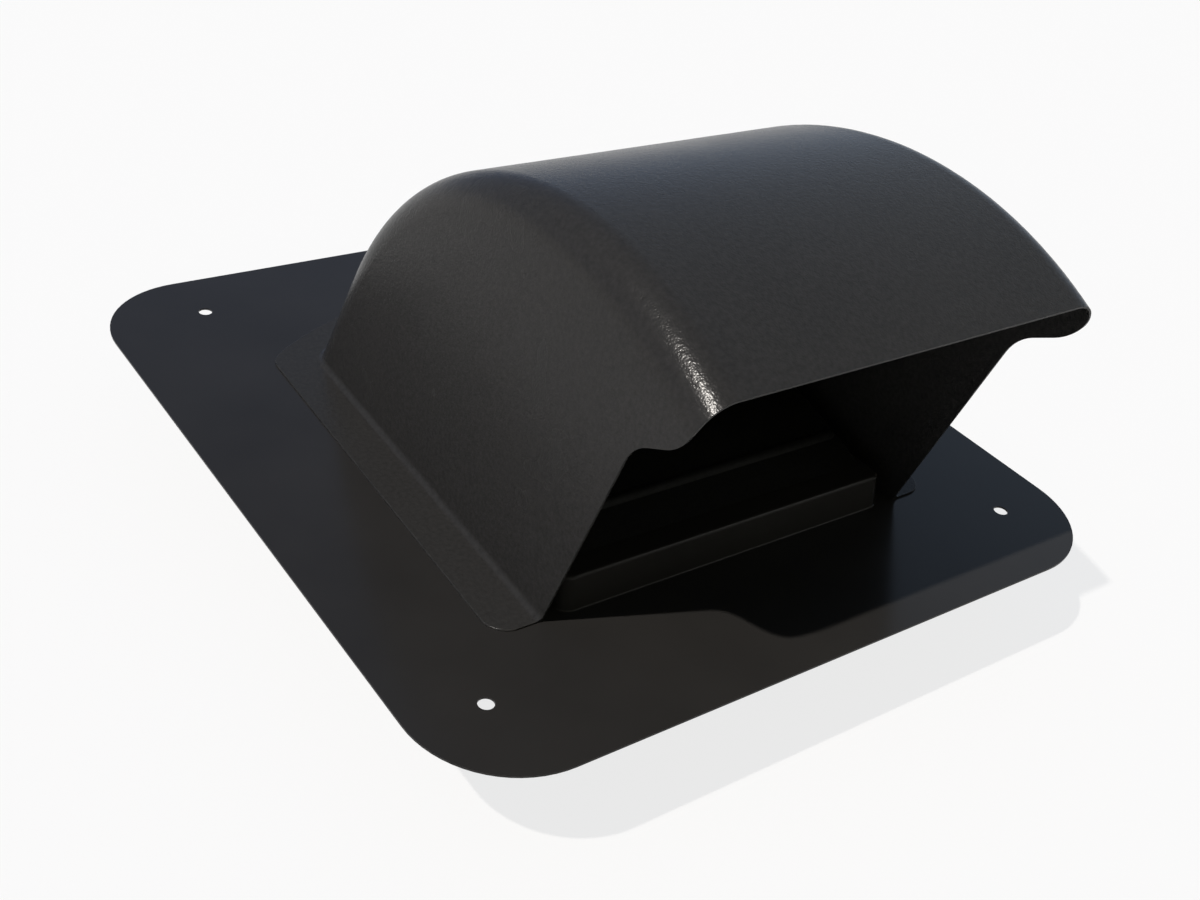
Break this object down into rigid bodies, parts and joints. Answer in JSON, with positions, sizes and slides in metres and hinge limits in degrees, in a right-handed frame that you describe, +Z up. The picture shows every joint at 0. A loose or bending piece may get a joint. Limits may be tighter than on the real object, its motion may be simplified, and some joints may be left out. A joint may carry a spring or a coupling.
{
  "type": "roof vent",
  "caption": "Low roof vent: drawn sheet hood with an overhanging mouth on a nailed flashing, over a curved damper flap that falls shut on the duct collar.",
  "frame": {"origin": "on the duct collar's axis, where it crosses the roof plane at the flashing's underside", "axes": "+Z up off the roof along the collar's axis, -Y downhill, the way the hood's mouth faces, +X to the right seen from the mouth"},
  "size_m": [0.3048, 0.3302, 0.1937],
  "materials": {
    "plate_coat": "smooth black powder coat, semi-gloss",
    "hood_coat": "black powder coat with a fine leather texture, semi-gloss",
    "flap_coat": "black coat, satin",
    "zinc_sheet": "zinc-coated sheet",
    "rivet_metal": "plain",
    "rod_steel": "bright drawn",
    "bush_plastic": "natural nylon"
  },
  "bodies": {
    "vent_body": {"flashing": "plate_coat", "hood": "hood_coat", "duct_collar": "zinc_sheet", "collar_rivets": "rivet_metal", "bracket_rivets": "rivet_metal", "hinge_bracket_left": "zinc_sheet", "hinge_bracket_right": "zinc_sheet", "hinge_bush_left": "bush_plastic", "hinge_bush_right": "bush_plastic"},
    "damper": {"damper_flap": "flap_coat", "hinge_rod": "rod_steel", "rod_cap_left": "rod_steel", "rod_cap_right": "rod_steel"}
  },
  "joints": [
    {"name": "damper_swing", "type": "hinge", "parent": "vent_body", "child": "damper", "pos_m": [0, 0.06, 0.0216], "axis": [-1, 0, 0], "range_deg": [0, 48]}
  ]
}
